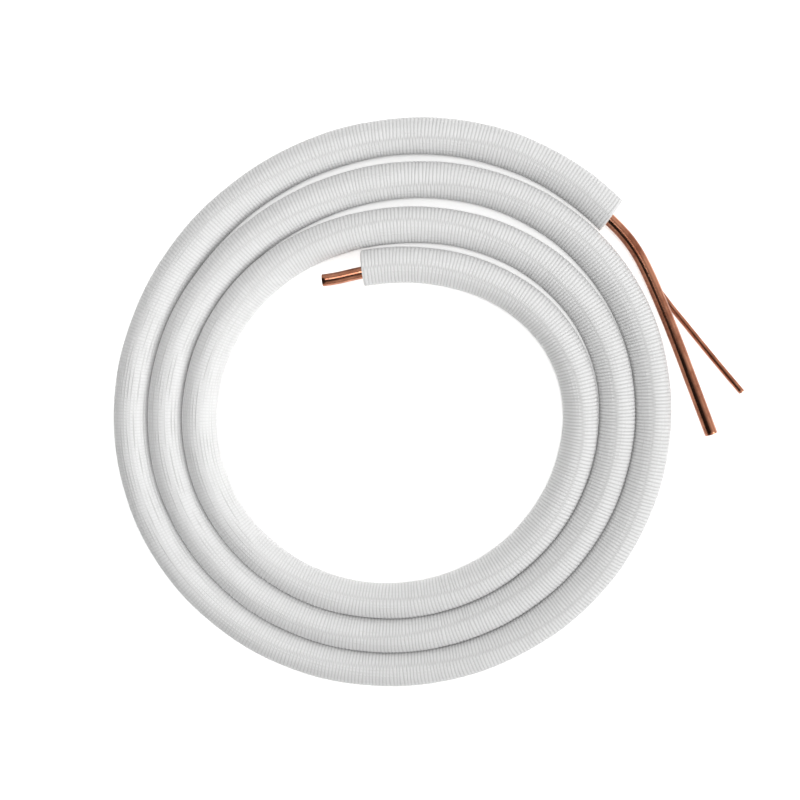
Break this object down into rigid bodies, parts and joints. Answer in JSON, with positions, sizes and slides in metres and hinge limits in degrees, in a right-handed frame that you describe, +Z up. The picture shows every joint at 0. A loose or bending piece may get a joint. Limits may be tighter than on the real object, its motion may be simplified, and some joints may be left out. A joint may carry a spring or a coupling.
{
  "type": "mini split line set",
  "caption": "Flat hand-wound coil of soft copper refrigerant lines in white foam sleeves, with bare plain-cut pipe ends, for joining an air conditioner's indoor and outdoor units",
  "frame": {"origin": "On the floor that the coil lies on, under the middle of the set's bounding box", "axes": "+Z is up, along the coil's axis and out of its flat side; +X runs along the set's longest side, towards the long bare ends; +Y follows by the right-hand rule"},
  "size_m": [0.6616, 0.59, 0.0575],
  "materials": {
    "suction_copper": null,
    "suction_foam": "white closed-cell polyethylene foam with an embossed film skin",
    "liquid_copper": null,
    "liquid_foam": "white closed-cell polyethylene foam with an embossed film skin"
  },
  "bodies": {
    "root": {"suction_pipe": "suction_copper", "suction_insulation": "suction_foam", "liquid_pipe": "liquid_copper", "liquid_insulation": "liquid_foam"}
  },
  "joints": []
}
